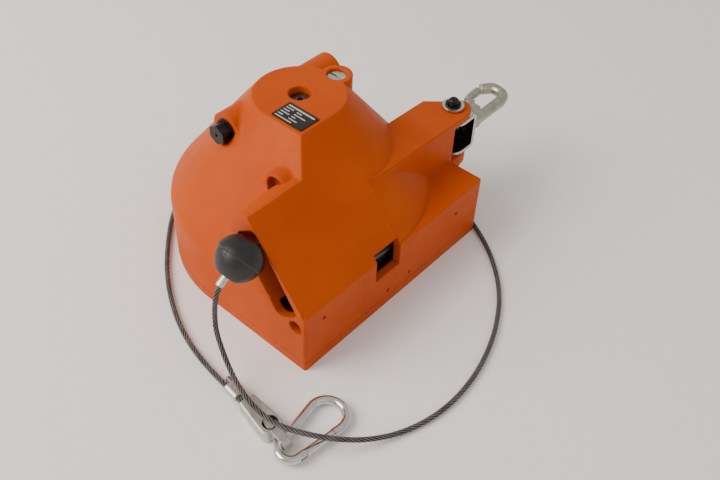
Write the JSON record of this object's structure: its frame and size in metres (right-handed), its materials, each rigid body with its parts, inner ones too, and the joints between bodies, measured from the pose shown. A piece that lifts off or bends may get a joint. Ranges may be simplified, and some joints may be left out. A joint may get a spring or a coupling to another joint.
{
  "type": "spring balancer",
  "caption": "Rope spring balancer: conical cable drum in a painted cast case, swivel hook at one end, rope with stopper, wedge clamp and snap link at the other.",
  "frame": {"origin": "drum axis at the underside of the back cover", "axes": "+Z along the drum axis out of the top of the case, +X towards the suspension hook, rope leaves towards -X, flat side of the case faces -Y"},
  "size_m": [0.3348, 0.2875, 0.1288],
  "materials": {
    "orange_paint": "satin enamel paint on a casting",
    "zinc_steel": "bright zinc plate",
    "galvanised": "hot-dip galvanised, slightly dull",
    "chromed": "nickel-chrome plate, bright",
    "wire_rope": "stranded steel wire, lightly oiled",
    "black_plastic": "moulded, fine grain",
    "black_oxide": "black oxide",
    "plate_print": "black anodised plate",
    "spring_steel": "oiled spring steel",
    "bearing_steel": "ground",
    "cast_alloy": "machined casting",
    "bronze": "turned bronze"
  },
  "bodies": {
    "case": {"housing": "orange_paint", "back_cover": "orange_paint", "cover_screws": "zinc_steel", "nameplate": "plate_print", "arbor_upper_bush": "bronze", "arbor_lower_bush": "bronze", "catch_ring": "spring_steel", "catch_ring_screws": "zinc_steel", "worm_near_bush": "bronze", "worm_far_bush": "bronze", "worm_bore_plug": "zinc_steel", "suspension_pin": "black_oxide", "pin_washer": "zinc_steel", "pin_clip": "black_oxide", "rope_lead": "wire_rope", "stopper_half_left": "black_plastic", "stopper_half_right": "black_plastic", "stopper_screws": "zinc_steel", "stop_ferrule": "zinc_steel", "rope": "wire_rope", "rope_end_loop": "wire_rope", "crimp_sleeve": "zinc_steel", "wedge_clamp": "zinc_steel", "clamp_wedge": "zinc_steel"},
    "drum": {"rope_drum": "cast_alloy", "rope_windings": "wire_rope", "drum_lower_bearing": "bearing_steel", "drum_upper_bearing": "bearing_steel", "spring_cover": "spring_steel", "spring_cover_screws": "zinc_steel", "mainspring": "spring_steel", "pawl_pins": "spring_steel"},
    "pawl_1": {"pawl_1": "spring_steel"},
    "pawl_2": {"pawl_2": "spring_steel"},
    "arbor": {"spring_arbor": "spring_steel", "wheel_key": "spring_steel", "arbor_spacer": "spring_steel", "worm_wheel": "bronze"},
    "worm": {"worm_shaft": "spring_steel", "tension_hex": "black_oxide"},
    "lock": {"drum_lock_bolt": "zinc_steel"},
    "bracket": {"suspension_bracket": "zinc_steel"},
    "hook": {"swivel_hook": "galvanised", "swivel_nut": "zinc_steel", "latch_pin": "zinc_steel"},
    "latch": {"hook_latch": "galvanised"},
    "link": {"snap_link": "chromed", "gate_pin": "zinc_steel"},
    "gate": {"snap_link_gate": "chromed"}
  },
  "joints": [
    {"name": "drum_turn", "type": "hinge", "parent": "case", "child": "drum", "pos_m": [0, 0, 0], "axis": [0, 0, -1], "range_deg": [0, 2880], "stiffness_Nm_per_rad": 0.044, "springref_deg": -5328.51},
    {"name": "pawl_1_swing", "type": "hinge", "parent": "drum", "child": "pawl_1", "pos_m": [0.058, 0, 0.011], "axis": [0, 0, -1], "range_deg": [0, 10], "stiffness_Nm_per_rad": 0.002, "springref_deg": -17.19},
    {"name": "pawl_2_swing", "type": "hinge", "parent": "drum", "child": "pawl_2", "pos_m": [-0.058, 0, 0.011], "axis": [0, 0, -1], "range_deg": [0, 10], "stiffness_Nm_per_rad": 0.002, "springref_deg": -17.19},
    {"name": "arbor_turn", "type": "hinge", "parent": "case", "child": "arbor", "pos_m": [0, 0, 0.1], "axis": [0, 0, 1], "continuous": true},
    {"name": "worm_turn", "type": "hinge", "parent": "case", "child": "worm", "pos_m": [0, 0.026, 0.108], "axis": [1, 0, 0], "continuous": true},
    {"name": "lock_turn", "type": "hinge", "parent": "case", "child": "lock", "pos_m": [0.0335, -0.0026, 0.12], "axis": [0, 0, 1], "range_deg": [0, 90]},
    {"name": "bracket_swing", "type": "hinge", "parent": "case", "child": "bracket", "pos_m": [0.1094, -0.0503, 0.064], "axis": [0, 0, 1], "range_deg": [-75, 75]},
    {"name": "hook_swivel", "type": "hinge", "parent": "bracket", "child": "hook", "pos_m": [0.125, -0.0503, 0.064], "axis": [1, 0, 0], "continuous": true},
    {"name": "latch_open", "type": "hinge", "parent": "hook", "child": "latch", "pos_m": [0.1425, -0.0415, 0.064], "axis": [0, 0, -1], "range_deg": [0, 28], "stiffness_Nm_per_rad": 0.01, "springref_deg": -34.38},
    {"name": "link_swing", "type": "hinge", "parent": "case", "child": "link", "pos_m": [-0.1442, -0.1307, 0.005], "axis": [-0.0414, -0.0015, -0.9991], "range_deg": [0, 12]},
    {"name": "gate_open", "type": "hinge", "parent": "link", "child": "gate", "pos_m": [-0.14175, -0.13852, 0.00491], "axis": [0.0414, 0.0014, 0.9991], "range_deg": [0, 25], "stiffness_Nm_per_rad": 0.006, "springref_deg": -34.38}
  ],
  "couplings": [
    {"joint": "worm_turn", "follows": "arbor_turn", "ratio": 40}
  ]
}
